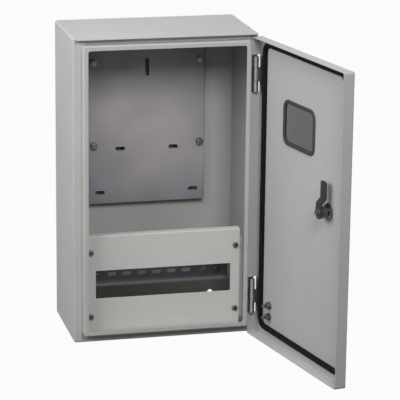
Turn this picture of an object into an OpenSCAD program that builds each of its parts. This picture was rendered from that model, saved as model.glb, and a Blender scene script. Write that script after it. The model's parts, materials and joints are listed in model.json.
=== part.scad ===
// Electric meter cabinet for a wall: a folded steel body with a meter plate above,
// a covered rail for modular devices below, and a door with a window and a cam lock.
// Millimetres. +X is right, +Y goes into the wall and +Z is up. The origin is the centre of
// the four wall holes, on the outer back face. The door stands open by door_open.

/* [Cabinet body] */
// Width over the sides
body_w = 300; // [270:5:400]
// Height over top and bottom
body_h = 500; // [470:5:650]
// Depth from the wall to the gutter floor at the front
body_d = 160; // [140:5:220]
// Thickness of the body sheet
shell_t = 1.2; // [0.8:0.1:2]
// Outside radius of the four long corners
corner_r = 4; // [3:0.5:8]
// Outside radius of the folds at the front
bend_r = 2.6; // [2.2:0.1:5]

/* [Front frame] */
// Width of the gutter at the sides
gutter_side = 14; // [13:0.5:18]
// Width of the gutter at the top
gutter_top = 9.5; // [8:0.5:16]
// Width of the gutter at the bottom
gutter_bottom = 13.5; // [8:0.5:16]
// How far the rim stands in front of the gutter floor
rim_h = 14.5; // [8:0.5:16]
// How far the rim reaches behind the gutter floor
rim_root = 6; // [3:0.5:9]
// Width of the sealing lip at the sides
lip_side = 8; // [8:0.5:16]
// Width of the sealing lip at top and bottom
lip_top = 8; // [8:0.5:16]
// Outside corner radius of the rim
rim_corner_r = 6; // [4:0.5:12]
// Corner radius of the door opening
opening_r = 4; // [2:0.5:8]
// How far the top sheet stands in front of the gutter floor, as a hood over the door
hood_out = 12; // [6:0.5:14]
// Radius of the hood's two front corners
hood_r = 3; // [1:0.5:6]

/* [Wall holes] */
// Diameter of the wall holes
wall_hole_d = 9; // [6:0.5:12]
// Distance of a wall hole from the side of the body
wall_hole_side = 35; // [28:1:42]
// Distance of a wall hole from the top or bottom of the body
wall_hole_end = 20; // [16:1:60]

/* [Cable entries] */
// Number of cable entries in the bottom
entry_count = 3; // [1:1:4]
// Diameter of the hole of a cable entry
entry_d = 32; // [20:1:40]
// Distance between cable entries
entry_pitch = 66; // [56:1:75]
// Distance of the cable entries from the wall
entry_from_wall = 62; // [48:1:90]
// How far a grommet's flange reaches past its hole
grommet_flange = 4; // [2:0.5:6]
// Thickness of a grommet's flange
grommet_t = 2.4; // [2:0.1:4]
// Thickness of a grommet's membrane
membrane_t = 1; // [0.6:0.1:1.6]
// How far a grommet's inner lip reaches past its hole
grommet_lip = 2; // [1:0.5:4]

/* [Meter plate] */
// Width of the meter plate
plate_w = 198; // [160:1:220]
// Height of the meter plate
plate_h = 263; // [230:1:280]
// Height of the plate's centre over the wall-hole centre
plate_z = 73; // [70:1:80]
// Thickness of the meter plate
plate_t = 1.5; // [1:0.1:2.5]
// Depth of the plate's side folds
plate_fold = 9; // [5:0.5:12]
// Distance from the back panel to the plate
plate_stand = 14; // [13:0.5:30]
// Width of the slots for meter screws
meter_slot_w = 7; // [5:0.5:9]
// Length of the slots for meter screws
meter_slot_len = 16; // [12:1:24]
// Length of the upright slot for the meter's top screw
top_slot_len = 30; // [20:1:44]
// Distance from the plate's top edge to the middle of that slot
top_slot_down = 34; // [30:1:60]
// Distance between the upper pair of slots
upper_slots_pitch = 90; // [70:1:110]
// Height of the upper pair over the plate's bottom edge
upper_slots_up = 92; // [80:1:130]
// Distance between the lower pair of slots
lower_slots_pitch = 158; // [130:1:164]
// Height of the lower pair over the plate's bottom edge
lower_slots_up = 18; // [14:1:40]
// Distance of the fixing studs from the plate's side
stud_side = 9.5; // [9:0.5:20]
// Height of the lower fixing studs over the plate's bottom edge
stud_low_up = 99; // [60:1:110]
// Distance of the upper fixing studs from the plate's top edge
stud_top_down = 24; // [14:1:60]

/* [Module cover] */
// Height of the module cover
cover_h = 164; // [140:1:180]
// Height of the cover's bottom edge over the bottom of the body
cover_up = 11; // [10:1:30]
// Thickness of the cover's sheet
cover_t = 1.2; // [1:0.1:2]
// Gap between the cover and each side of the door opening
cover_clear = 1; // [0.5:0.1:3]
// How far the cover's face lies behind the gutter floor
cover_set = 10; // [8:0.5:30]
// Depth of the cover's top and bottom folds
cover_fold = 14; // [8:0.5:20]
// Outside radius of the cover's folds
cover_bend_r = 2.2; // [2.1:0.1:4]
// Distance from each end of the slot for modular devices to the cover's side
slot_side = 15; // [13:0.5:34]
// Height of the slot for modular devices
slot_h = 47; // [44:0.5:50]
// Corner radius of that slot
slot_r = 1.5; // [0.5:0.1:4]
// Distance of the cover screws from the cover's side
cover_screw_side = 7; // [6:0.5:7.5]
// Upright distance between the cover screws
cover_screw_pitch = 108; // [80:1:116]
// Thickness of the brackets behind the cover
bracket_t = 1.5; // [1:0.1:2.5]
// Depth of the brackets along the side walls
bracket_d = 30; // [15:1:40]
// Height of the brackets
bracket_h = 138; // [124:1:150]

/* [Rail] */
// Height of the rail
rail_h = 35; // [34:0.5:36]
// Depth of the rail's channel
rail_d = 7.5; // [6:0.5:15]
// Outside width of the rail's base
rail_base_w = 27; // [25:0.5:28]
// Thickness of the rail
rail_t = 1; // [0.8:0.1:1.5]
// Distance from the front of the rail to the face of the cover
rail_to_cover = 46; // [40:1:55]
// Gap between the rail's end and the cover's side
rail_end_gap = 6; // [2:1:12]
// Distance between the slots in the rail's base
rail_slot_pitch = 25; // [20:1:36]
// Length of the slots in the rail's base
rail_slot_len = 15; // [10:1:18]
// Width of the slots in the rail's base
rail_slot_w = 6.2; // [5.8:0.1:7]
// Thickness of the rail supports
support_t = 2; // [1.5:0.1:3]
// Width of the rail supports
support_w = 24; // [16:1:24]
// Length of a support's foot on the back panel
support_foot = 18; // [12:1:22]

/* [Terminal bars] */
// Number of clamps on a terminal bar
clamp_count = 9; // [4:1:10]
// Distance between the clamps of a terminal bar
clamp_pitch = 8; // [7:0.5:8.5]
// Length of bar past the last clamp at each end
bar_end = 11; // [10:0.5:12]
// Depth of a terminal bar
bar_d = 9; // [8:0.5:12]
// Height of a terminal bar
bar_h = 7; // [6:0.5:10]
// Diameter of a clamp's wire hole
wire_hole_d = 5; // [3:0.5:6]
// Distance between the middles of the two bars
bars_apart = 112; // [108:1:120]
// Height of the bars over the bottom of the body
bars_up = 16; // [16:1:46]
// Distance from the back panel to a bar
bar_stand = 18; // [12:0.5:30]
// Width of a bar's foot
foot_w = 12; // [8:0.5:14]
// Thickness of a foot's base on the back panel
foot_base_t = 4; // [3:0.5:6]
// How far a foot's base reaches past the bar, above and below
foot_base_out = 2.5; // [2:0.5:5]
// How far a foot's waist reaches past the bar, above and below
foot_waist_out = 1; // [0.5:0.5:2]
// How far a foot's waist stands in from each side of its base
foot_waist_in = 1; // [0.5:0.5:2]
// Corner radius of a foot
foot_r = 2; // [1:0.5:3]

/* [Door] */
// Angle by which the door stands open
door_open = 102; // [0:1:110]
// Depth of the door pan
door_d = 19; // [17:0.5:28]
// Thickness of the door sheet
door_t = 1.2; // [0.8:0.1:2]
// How far the top of the door lies below the top of the body
door_down = 5; // [3:0.5:6]
// Gap between the gutter floor and the edge of the closed door
door_gap = 4; // [3.6:0.1:5]
// Width of the door gasket
gasket_w = 6; // [5:0.5:9]
// Distance of the gasket's middle line inside the rim
gasket_in = 4.5; // [4.5:0.5:6.5]
// Corner radius of the gasket's middle line
gasket_r = 14; // [8:0.5:24]
// Gap between the gasket and the lip of the closed body
gasket_rest = 0.3; // [0.2:0.1:1]

/* [Hinges] */
// Distance of the hinge axis from the side of the body
hinge_in = 6; // [5.5:0.1:6.5]
// Distance of the hinge axis in front of the gutter floor
hinge_fwd = 9.5; // [9.2:0.1:11]
// Height of a hinge
hinge_h = 57; // [40:1:80]
// Distance of each hinge's middle from mid-height of the body
hinge_z = 185; // [150:1:195]
// Diameter of the hinge knuckles
knuckle_d = 9; // [8:0.1:9.4]
// Diameter of the hinge pins
hinge_pin_d = 5; // [4:0.1:6]
// Thickness of the hinge leaves
leaf_t = 2; // [1.5:0.1:2.4]
// Height of the moving knuckle
door_knuckle_h = 23; // [14:1:26]

/* [Window] */
// Width of the window's cut-out
window_w = 97; // [80:1:130]
// Height of the window's cut-out
window_h = 67; // [55:1:100]
// Corner radius of the cut-out
window_r = 12; // [9:0.5:20]
// Distance of the window's middle from the middle of the door, towards the hinges
window_x = 17; // [0:1:24]
// Height of the window's middle over mid-height of the body
window_z = 124; // [110:1:150]
// Thickness of the pane
pane_t = 2; // [1.5:0.1:3]
// How far the window seal reaches over the sheet and over the pane
seal_reach = 3.2; // [2.6:0.1:7]
// Thickness of the window seal
seal_t = 5; // [4.6:0.1:8]

/* [Lock] */
// Distance of the lock from the middle of the door, towards the free edge
lock_x = 84; // [78:1:90]
// Height of the lock over mid-height of the body
lock_z = 15; // [0:1:40]
// Diameter of the lock's barrel
barrel_d = 19; // [18:0.5:20]
// Width over the barrel's two flats
barrel_flat = 16.5; // [16:0.1:17.5]
// Length of the barrel behind the outer face of the door
barrel_len = 17.5; // [16:0.5:22]
// Diameter of the lock's front flange
bezel_d = 27; // [24:0.5:32]
// Thickness of the lock's front flange
bezel_t = 3.2; // [2.8:0.1:5]
// Diameter of the turning plug
plug_d = 12; // [10:0.1:12.6]
// Width over flats of the lock's nut
lock_nut_af = 24; // [22:0.5:28]
// Thickness of the lock's nut
lock_nut_t = 5; // [3:0.5:6]
// Thickness of the cam
cam_t = 2.5; // [1.5:0.1:3]
// Width of the cam's tongue
cam_w = 16; // [12:0.5:18]
// Length of the cam from its axis to its tip
cam_len = 49; // [46:0.5:50]
// Width of the square on which the cam sits
cam_square = 8; // [6:0.1:8.2]

/* [Earth studs] */
// Thread diameter of the earth studs
earth_d = 6; // [5:0.5:8]
// Length of the earth studs
earth_len = 14; // [12:0.5:16]
// Distance of the door's earth studs from the hinge axis
door_earth_in = 40; // [32:1:60]
// Height of the upper door stud over the bottom of the door
door_earth_up = 58; // [50:1:90]
// Distance between the door's earth studs
door_earth_pitch = 19; // [17:1:24]
// Distance of the body's earth stud from the wall
body_earth_from_wall = 70; // [40:1:85]
// Height of the body's earth stud over the bottom of the body
body_earth_up = 128; // [90:1:200]

/* [Fasteners] */
// Thread diameter of cover, rail and cam screws
screw_d = 5; // [4:0.5:5]
// Head diameter of those screws
screw_head_d = 9.5; // [8:0.5:10.5]
// Head height of those screws
screw_head_h = 3.2; // [2.4:0.1:4]
// Thread diameter of the meter plate's studs
stud_d = 6; // [4:0.5:7]
// Width over flats of the nuts and spacers on those studs
nut_af = 10; // [8:0.5:12]
// Height of those nuts
nut_h = 5; // [4:0.5:7]
// Diameter of the washers
washer_d = 12.5; // [12:0.5:16]
// Thickness of the washers
washer_t = 1.2; // [0.8:0.1:2]

/* [Hidden] */
$fn = 48;

// Clearances
seat_gap = 0.1;     // round edge beside the round edge that it is welded or clipped to
running_gap = 0.05; // radial play of a pin or plug that turns
thread_gap = 0.05;  // radial play of a thread in its nut or hole
hole_gap = 0.5;     // radial play of a screw in a plain hole
knuckle_gap = 0.4;  // play between hinge knuckles along the pin
notch_gap = 2;      // room round a hinge in the door's flange
cam_gap = 0.5;      // room between the cam and the lip behind which it locks
cut = 1;            // how far a cutting shape reaches past the face it cuts

// Planes across the depth
front_y = -body_d;
lip_y = front_y - rim_h;
lip_back_y = lip_y + shell_t;
door_edge_y = front_y - door_gap;
skin_y = door_edge_y - door_d;
skin_in_y = skin_y + door_t;
back_in_y = -shell_t;
plate_y = back_in_y - plate_stand - plate_t;
cover_y = front_y + cover_set;
cover_back_y = cover_y + cover_t;
rail_y = cover_y + rail_to_cover;
rail_back_y = rail_y + rail_d;

// Places across the width and height
rim_x = body_w / 2 - gutter_side;
rim_z = (body_h - gutter_top - gutter_bottom) / 2;
rim_mid = (gutter_bottom - gutter_top) / 2;
open_x = rim_x - lip_side;
open_z = rim_z - lip_top;
wall_x = body_w / 2 - shell_t;
cover_w = 2 * (open_x - cover_clear);
slot_w = cover_w - 2 * slot_side;
cover_z = -body_h / 2 + cover_up + cover_h / 2;
cover_screw_x = cover_w / 2 - cover_screw_side;
rail_len = cover_w - 2 * rail_end_gap;
support_x = floor((rail_len / 2 - support_w / 2) / rail_slot_pitch) * rail_slot_pitch;
plate_stud_x = plate_w / 2 - stud_side;
plate_stud_z = [plate_z - plate_h / 2 + stud_low_up, plate_z + plate_h / 2 - stud_top_down];
bar_z = -body_h / 2 + bars_up;
bar_len = (clamp_count - 1) * clamp_pitch + 2 * bar_end;
bar_y = back_in_y - bar_stand;
door_h = body_h - door_down;
hinge_x = body_w / 2 - hinge_in;
hinge_y = front_y - hinge_fwd;
gasket_h = lip_y - gasket_rest - skin_in_y;
gasket_x = rim_x - gasket_in;
gasket_z = rim_z - gasket_in;
seal_y = skin_y + door_t / 2;
barrel_end_y = skin_y + barrel_len;
tongue_y = lip_back_y + cam_gap;
nut_bore_d = stud_d + 2 * thread_gap;

// Small fittings
clamp_screw_d = 4;
clamp_head_d = 5.6;
clamp_head_h = 2.4;
clamp_depth = bar_d / 2;
earth_nut_af = earth_d * 5 / 3;
earth_nut_h = earth_d * 5 / 6;
bezel_bevel = 1;
plug_head_out = 2;
plug_head_d = plug_d + 2 * plug_head_out;
plug_head_t = 2;
cam_eye_out = 2;
cam_eye_d = cam_w + 2 * cam_eye_out;
cam_screw_len = 8;
cam_screw_af = screw_d * 8 / 5;
seal_web = 1;       // rubber between the sheet's groove and the pane's groove

// Flat shapes

module rounded_rect(w, h, r) {
  square([w - 2 * r, h], center = true);
  square([w, h - 2 * r], center = true);
  for (sx = [-1, 1], sz = [-1, 1])
    translate([sx * (w / 2 - r), sz * (h / 2 - r)])
      circle(r);
}

// Rectangle from y = 0 to y = -d whose two front corners are round
module front_round(w, d, r) {
  translate([-w / 2, r - d])
    square([w, d - r]);
  translate([r - w / 2, -d])
    square([w - 2 * r, d]);
  for (s = [-1, 1])
    translate([s * (w / 2 - r), r - d])
      circle(r);
}

// Sheet angle with its outside corner on the origin, leg a along +X and leg b along +Y. Its bend
// ends within the shorter leg.
module bent_angle(a, b, t) {
  r = min(2 * t, 0.9 * min(a, b));
  translate([r, 0])
    square([a - r, t]);
  translate([0, r])
    square([t, b - r]);
  intersection() {
    translate([r, r])
      difference() {
        circle(r);
        circle(r - t);
      }
    square(r);
  }
}

module slot_shape(len, w) {
  square([len - w, w], center = true);
  for (s = [-1, 1])
    translate([s * (len - w) / 2, 0])
      circle(d = w);
}

// Solid helpers

// Extrudes a shape drawn in X and Z from y = 0 to y = -d
module plate_to_front(d) {
  rotate([90, 0, 0])
    linear_extrude(d)
      children();
}

// Extrudes a shape drawn in Z (across) and Y over the width w
module along_x(w) {
  rotate([0, -90, 0])
    translate([0, 0, -w / 2])
      linear_extrude(w)
        children();
}

// Block from y = 0 to y = -d with round long corners and round front edges
module folded_box(w, h, d, r_corner, r_bend) {
  intersection() {
    plate_to_front(d)
      rounded_rect(w, h, r_corner);
    translate([0, 0, -h / 2 - cut])
      linear_extrude(h + 2 * cut)
        front_round(w, d, r_bend);
    along_x(w + 2 * cut)
      front_round(h, d, r_bend);
  }
}

// Folded tray of sheet t: open at y = 0, closed by its face at y = -d
module folded_tray(w, h, d, t, r_corner, r_bend) {
  difference() {
    folded_box(w, h, d, r_corner, r_bend);
    translate([0, cut, 0])
      folded_box(w - 2 * t, h - 2 * t, d - t + cut, r_corner - t, r_bend - t);
  }
}

// Turns a child so that its +Z looks to the front, and moves it to a point
module facing_front(p) {
  translate(p)
    rotate([90, 0, 0])
      children();
}

module hex_prism(af, h) {
  cylinder(d = af / cos(30), h = h, $fn = 6);
}

// Screw with its seat on z = 0, its head above and its shank below
module pan_screw(shank_len) {
  round_h = 0.4 * screw_head_h;
  top_d = 0.7 * screw_head_d;
  recess_w = 0.24 * screw_d;
  recess_len = 0.55 * screw_head_d;
  difference() {
    union() {
      cylinder(d = screw_head_d, h = screw_head_h - round_h);
      translate([0, 0, screw_head_h - round_h])
        cylinder(d1 = screw_head_d, d2 = top_d, h = round_h);
      translate([0, 0, -shank_len])
        cylinder(d = screw_d, h = shank_len + round_h);
    }
    for (turn = [0, 90])
      rotate(turn)
        translate([0, 0, screw_head_h])
          cube([recess_len, recess_w, screw_head_h], center = true);
  }
}

// Washer and nut with their seat on z = 0
module nut_on_washer(af, h, bore_d) {
  difference() {
    union() {
      cylinder(d = washer_d, h = washer_t);
      translate([0, 0, washer_t])
        hex_prism(af, h);
    }
    translate([0, 0, -cut])
      cylinder(d = bore_d, h = washer_t + h + 2 * cut);
  }
}

// Moves what is drawn for the closed door to the door's open place
module on_door() {
  translate([hinge_x, hinge_y, 0])
    rotate(door_open)
      translate([-hinge_x, -hinge_y, 0])
        children();
}

// Body

// The strip of the top sheet that runs on over the door
module hood() {
  root = 2 * bend_r;
  translate([0, front_y + root, body_h / 2 - shell_t])
    linear_extrude(shell_t)
      front_round(body_w - 2 * corner_r, root + hood_out, hood_r);
}

module body_wrap() {
  color("gainsboro")
    difference() {
      union() {
        folded_tray(body_w, body_h, body_d, shell_t, corner_r, bend_r);
        hood();
      }
      translate([0, front_y + shell_t + cut, rim_mid])
        plate_to_front(shell_t + 2 * cut)
          rounded_rect(2 * rim_x, 2 * rim_z, rim_corner_r);
      for (i = [0:entry_count - 1])
        translate([entry_x(i), -entry_from_wall, -body_h / 2 - cut])
          cylinder(d = entry_d, h = shell_t + 2 * cut);
    }
}

function entry_x(i) = (i - (entry_count - 1) / 2) * entry_pitch;

module back_panel() {
  inset = shell_t + seat_gap;
  color("gainsboro")
    difference() {
      plate_to_front(shell_t)
        rounded_rect(body_w - 2 * inset, body_h - 2 * inset, corner_r - shell_t);
      for (sx = [-1, 1], sz = [-1, 1])
        translate([sx * (body_w / 2 - wall_hole_side), cut, sz * (body_h / 2 - wall_hole_end)])
          plate_to_front(shell_t + 2 * cut)
            circle(d = wall_hole_d);
    }
}

module front_frame() {
  frame_w = 2 * (rim_x - seat_gap);
  frame_h = 2 * (rim_z - seat_gap);
  color("gainsboro")
    difference() {
      translate([0, front_y + rim_root, rim_mid])
        folded_tray(frame_w, frame_h, rim_root + rim_h, shell_t, rim_corner_r, bend_r);
      translate([0, lip_back_y + cut, rim_mid])
        plate_to_front(shell_t + 2 * cut)
          rounded_rect(2 * open_x, 2 * open_z, opening_r);
    }
}

// Half section of a grommet: its flange lies under the sheet, from z = 0 down, and its thin
// membrane rises to a blunt cone in the middle
function grommet_profile() = let (
  neck = entry_d / 2 - seat_gap,
  flange = entry_d / 2 + grommet_flange,
  lip = entry_d / 2 + grommet_lip,
  bore = neck - 2 * membrane_t,
  sheet = shell_t + seat_gap,
  crown = sheet + 1.5 * grommet_lip,
  bevel = grommet_t / 3,
  cone_foot = 0.6 * bore,
  cone_top = 0.4 * bore
) [
  [0, 0],
  [cone_top, 0],
  [cone_foot, -grommet_t],
  [flange - bevel, -grommet_t],
  [flange, bevel - grommet_t],
  [flange, 0],
  [neck, 0],
  [neck, sheet],
  [lip, sheet],
  [neck, crown],
  [bore, crown],
  [bore, membrane_t - grommet_t],
  [cone_foot + membrane_t, membrane_t - grommet_t],
  [cone_top + membrane_t, membrane_t],
  [0, membrane_t]
];

module cable_grommets() {
  color("dimgray")
    for (i = [0:entry_count - 1])
      translate([entry_x(i), -entry_from_wall, -body_h / 2])
        rotate_extrude()
          polygon(grommet_profile());
}

// Hinges

// One knuckle of height h, centred on the hinge axis, with the web to its leaf
module knuckle(h, bore_d, web_to_y) {
  web_front = min(web_to_y, hinge_y);
  web_back = max(web_to_y, hinge_y);
  difference() {
    union() {
      translate([hinge_x, hinge_y, -h / 2])
        cylinder(d = knuckle_d, h = h);
      translate([hinge_x - knuckle_d / 2, web_front, -h / 2])
        cube([leaf_t, web_back - web_front, h]);
    }
    translate([hinge_x, hinge_y, -h / 2 - cut])
      cylinder(d = bore_d, h = h + 2 * cut);
  }
}

// Foot of a leaf on the sheet, from the plane y0 to the plane y0 + leaf_t
module leaf_foot(y0) {
  foot_end = wall_x - bend_r;
  translate([rim_x + seat_gap, y0, -hinge_h / 2])
    cube([foot_end - rim_x - seat_gap, leaf_t, hinge_h]);
}

module hinge_body_leaves() {
  end_h = (hinge_h - door_knuckle_h) / 2 - knuckle_gap;
  color("silver")
    for (sz = [-1, 1])
      translate([0, 0, sz * hinge_z]) {
        for (se = [-1, 1])
          translate([0, 0, se * (hinge_h - end_h) / 2])
            knuckle(end_h, hinge_pin_d, front_y);
        leaf_foot(front_y - leaf_t);
      }
}

module hinge_pins() {
  color("silver")
    for (sz = [-1, 1])
      translate([hinge_x, hinge_y, sz * hinge_z - hinge_h / 2])
        cylinder(d = hinge_pin_d, h = hinge_h);
}

module hinge_door_leaves() {
  color("silver")
    on_door()
      for (sz = [-1, 1])
        translate([0, 0, sz * hinge_z]) {
          knuckle(door_knuckle_h, hinge_pin_d + 2 * running_gap, skin_in_y);
          leaf_foot(skin_in_y);
        }
}

// Meter section

module meter_plate() {
  bottom = plate_z - plate_h / 2;
  color("silver")
    difference() {
      union() {
        for (s = [-1, 1])
          translate([s * plate_w / 2, plate_y, bottom])
            mirror([s > 0 ? 1 : 0, 0, 0])
              linear_extrude(plate_h)
                bent_angle(plate_w / 2, plate_fold, plate_t);
      }
      translate([0, plate_y + plate_t + cut, 0])
        plate_to_front(plate_t + 2 * cut) {
          for (s = [-1, 1]) {
            translate([s * upper_slots_pitch / 2, bottom + upper_slots_up])
              slot_shape(meter_slot_len, meter_slot_w);
            translate([s * lower_slots_pitch / 2, bottom + lower_slots_up])
              slot_shape(meter_slot_len, meter_slot_w);
            for (z = plate_stud_z)
              translate([s * plate_stud_x, z])
                circle(d = stud_d + 2 * hole_gap);
          }
          translate([0, bottom + plate_h - top_slot_down])
            rotate(90)
              slot_shape(top_slot_len, meter_slot_w);
        }
    }
}

module at_plate_studs(y) {
  for (s = [-1, 1], z = plate_stud_z)
    facing_front([s * plate_stud_x, y, z])
      children();
}

module plate_standoffs() {
  stud_past_nut = 2;
  stud_len = plate_stand + plate_t + washer_t + nut_h + stud_past_nut;
  color("silver")
    at_plate_studs(back_in_y) {
      hex_prism(nut_af, plate_stand);
      cylinder(d = stud_d, h = stud_len);
    }
}

module plate_nuts() {
  color("silver")
    at_plate_studs(plate_y)
      nut_on_washer(nut_af, nut_h, nut_bore_d);
}

// Module section

// Angle on the side wall whose front leg carries the cover
module cover_bracket() {
  reach = wall_x - cover_screw_x + screw_d;
  difference() {
    translate([wall_x, cover_back_y, cover_z - bracket_h / 2])
      mirror([1, 0, 0])
        linear_extrude(bracket_h)
          bent_angle(reach, bracket_d, bracket_t);
    for (sz = [-1, 1])
      translate([cover_screw_x, cover_back_y + bracket_t + cut, cover_z + sz * cover_screw_pitch / 2])
        plate_to_front(bracket_t + 2 * cut)
          circle(d = screw_d + 2 * thread_gap);
  }
}

module cover_bracket_right() {
  color("lightgray")
    cover_bracket();
}

module cover_bracket_left() {
  color("lightgray")
    mirror([1, 0, 0])
      cover_bracket();
}

module lower_cover() {
  inner_h = cover_h - 2 * cover_t;
  inner_d = cover_fold - cover_t;
  color("gainsboro")
    difference() {
      translate([0, cover_y + cover_fold, cover_z])
        along_x(cover_w)
          difference() {
            front_round(cover_h, cover_fold, cover_bend_r);
            translate([0, cut])
              front_round(inner_h, inner_d + cut, cover_bend_r - cover_t);
          }
      translate([0, cover_back_y + cut, cover_z])
        plate_to_front(cover_t + 2 * cut) {
          rounded_rect(slot_w, slot_h, slot_r);
          for (sx = [-1, 1], sz = [-1, 1])
            translate([sx * cover_screw_x, sz * cover_screw_pitch / 2])
              circle(d = screw_d + 2 * hole_gap);
        }
    }
}

module cover_screws() {
  past_bracket = 6;
  color("gray")
    for (sx = [-1, 1], sz = [-1, 1])
      facing_front([sx * cover_screw_x, cover_y, cover_z + sz * cover_screw_pitch / 2])
        pan_screw(cover_t + bracket_t + past_bracket);
}

// Top-hat section drawn in Z (across) and Y, with the wings' front face on y = 0
module rail_section() {
  wing = (rail_h - rail_base_w) / 2 + rail_t;
  for (s = [-1, 1])
    mirror([s > 0 ? 1 : 0, 0]) {
      translate([-rail_base_w / 2, rail_d])
        mirror([0, 1])
          bent_angle(rail_base_w / 2, rail_d / 2, rail_t);
      translate([rail_t - rail_base_w / 2, 0])
        mirror([1, 0])
          bent_angle(wing, rail_d / 2, rail_t);
    }
}

module din_rail() {
  slots = floor((rail_len - rail_slot_len) / (2 * rail_slot_pitch));
  color("silver")
    difference() {
      translate([0, rail_y, cover_z])
        along_x(rail_len)
          rail_section();
      for (i = [-slots:slots])
        translate([i * rail_slot_pitch, rail_back_y + cut, cover_z])
          plate_to_front(rail_t + 2 * cut)
            slot_shape(rail_slot_len, rail_slot_w);
    }
}

// Bent strip from the back panel to the rail, drawn in Z (across) and Y
module support_section() {
  run = back_in_y - rail_back_y;
  leg = -rail_base_w / 2;
  translate([leg, rail_back_y])
    bent_angle(rail_base_w, run / 2, support_t);
  translate([leg + support_t, back_in_y])
    rotate(180)
      bent_angle(support_foot, run / 2 + support_t, support_t);
}

module rail_supports() {
  color("silver")
    for (sx = [-1, 1])
      difference() {
        translate([sx * support_x, 0, cover_z])
          along_x(support_w)
            support_section();
        translate([sx * support_x, rail_back_y + support_t + cut, cover_z])
          plate_to_front(support_t + 2 * cut)
            circle(d = screw_d + 2 * thread_gap);
      }
}

module rail_screws() {
  past_support = 4;
  color("gray")
    for (sx = [-1, 1])
      facing_front([sx * support_x, rail_back_y - rail_t, cover_z])
        pan_screw(rail_t + support_t + past_support);
}

// Terminal bars

function clamp_x(i) = (i - (clamp_count - 1) / 2) * clamp_pitch;

module terminal_bar(x) {
  translate([x, bar_y, bar_z])
    difference() {
      translate([-bar_len / 2, -bar_d, -bar_h / 2])
        cube([bar_len, bar_d, bar_h]);
      for (i = [0:clamp_count - 1]) {
        translate([clamp_x(i), -bar_d / 2, -bar_h / 2 - cut])
          cylinder(d = wire_hole_d, h = bar_h + 2 * cut);
        translate([clamp_x(i), -clamp_depth, 0])
          plate_to_front(clamp_depth + cut)
            circle(d = clamp_screw_d + 2 * thread_gap);
      }
    }
}

module clamp_screws(x) {
  slit = 0.9;
  for (i = [0:clamp_count - 1])
    facing_front([x + clamp_x(i), bar_y - bar_d, bar_z])
      difference() {
        union() {
          translate([0, 0, -clamp_depth / 2])
            cylinder(d = clamp_screw_d, h = clamp_depth / 2 + clamp_head_h);
          cylinder(d = clamp_head_d, h = clamp_head_h);
        }
        translate([0, 0, clamp_head_h])
          cube([clamp_head_d + cut, slit, clamp_head_h], center = true);
      }
}

// Two feet under the ends of a bar: a wide base on the back panel and a waist to the bar
module bar_feet(x) {
  for (s = [-1, 1])
    translate([x + s * (bar_len / 2 - foot_w / 2), back_in_y, bar_z]) {
      plate_to_front(foot_base_t)
        rounded_rect(foot_w, bar_h + 2 * foot_base_out, foot_r);
      plate_to_front(bar_stand)
        rounded_rect(foot_w - 2 * foot_waist_in, bar_h + 2 * foot_waist_out, foot_r);
    }
}

module neutral_bar() {
  color("goldenrod")
    terminal_bar(-bars_apart / 2);
}

module neutral_bar_feet() {
  color("steelblue")
    bar_feet(-bars_apart / 2);
}

module neutral_screws() {
  color("silver")
    clamp_screws(-bars_apart / 2);
}

module earth_bar() {
  color("goldenrod")
    terminal_bar(bars_apart / 2);
}

module earth_bar_feet() {
  color("yellowgreen")
    bar_feet(bars_apart / 2);
}

module earth_screws() {
  color("silver")
    clamp_screws(bars_apart / 2);
}

// Earth studs

// Turns a child so that its +Z looks away from the right wall, at the body's earth stud
module at_body_earth() {
  translate([wall_x, -body_earth_from_wall, body_earth_up - body_h / 2])
    rotate([0, -90, 0])
      children();
}

module body_earth_stud() {
  color("silver")
    at_body_earth()
      cylinder(d = earth_d, h = earth_len);
}

module body_earth_nut() {
  color("silver")
    at_body_earth()
      nut_on_washer(earth_nut_af, earth_nut_h, earth_d + 2 * thread_gap);
}

// Turns a child so that its +Z looks into the cabinet, at each earth stud of the door
module at_door_earths() {
  for (i = [0, 1])
    translate([hinge_x - door_earth_in, skin_in_y, door_earth_up - i * door_earth_pitch - body_h / 2])
      rotate([-90, 0, 0])
        children();
}

module door_earth_studs() {
  color("silver")
    on_door()
      at_door_earths()
        cylinder(d = earth_d, h = earth_len);
}

module door_earth_nuts() {
  color("silver")
    on_door()
      at_door_earths()
        nut_on_washer(earth_nut_af, earth_nut_h, earth_d + 2 * thread_gap);
}

// Door

module door_panel() {
  notch_front = skin_y + door_t + bend_r;
  notch_h = hinge_h + 2 * notch_gap;
  color("gainsboro")
    on_door()
      difference() {
        translate([0, door_edge_y, -door_down / 2])
          folded_tray(body_w, door_h, door_d, door_t, corner_r, bend_r);
        translate([window_x, skin_in_y + cut, window_z])
          plate_to_front(door_t + 2 * cut)
            rounded_rect(window_w, window_h, window_r);
        translate([-lock_x, skin_in_y + cut, lock_z])
          plate_to_front(door_t + 2 * cut)
            barrel_shape(seat_gap);
        for (sz = [-1, 1])
          translate([body_w / 2 - door_t - cut, notch_front, sz * hinge_z - notch_h / 2])
            cube([door_t + 2 * cut, door_edge_y - notch_front + cut, notch_h]);
      }
}

// Section of the gasket, drawn with its foot on y = 0 and its round top at y = gasket_h
module gasket_section() {
  translate([-gasket_w / 2, 0])
    square([gasket_w, gasket_h - gasket_w / 2]);
  translate([0, gasket_h - gasket_w / 2])
    circle(d = gasket_w);
}

module gasket_side(len) {
  rotate([90, 0, 0])
    translate([0, 0, -len / 2])
      linear_extrude(len)
        gasket_section();
}

// The gasket lies on z = 0 here, with its foot down
module gasket_ring() {
  run_x = gasket_x - gasket_r;
  run_z = gasket_z - gasket_r;
  for (s = [-1, 1]) {
    translate([s * gasket_x, 0, 0])
      gasket_side(2 * run_z);
    translate([0, s * gasket_z, 0])
      rotate(90)
        gasket_side(2 * run_x);
  }
  for (i = [0:3])
    translate([(i == 0 || i == 3 ? 1 : -1) * run_x, (i < 2 ? 1 : -1) * run_z, 0])
      rotate(i * 90)
        rotate_extrude(angle = 90)
          translate([gasket_r, 0])
            gasket_section();
}

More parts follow.
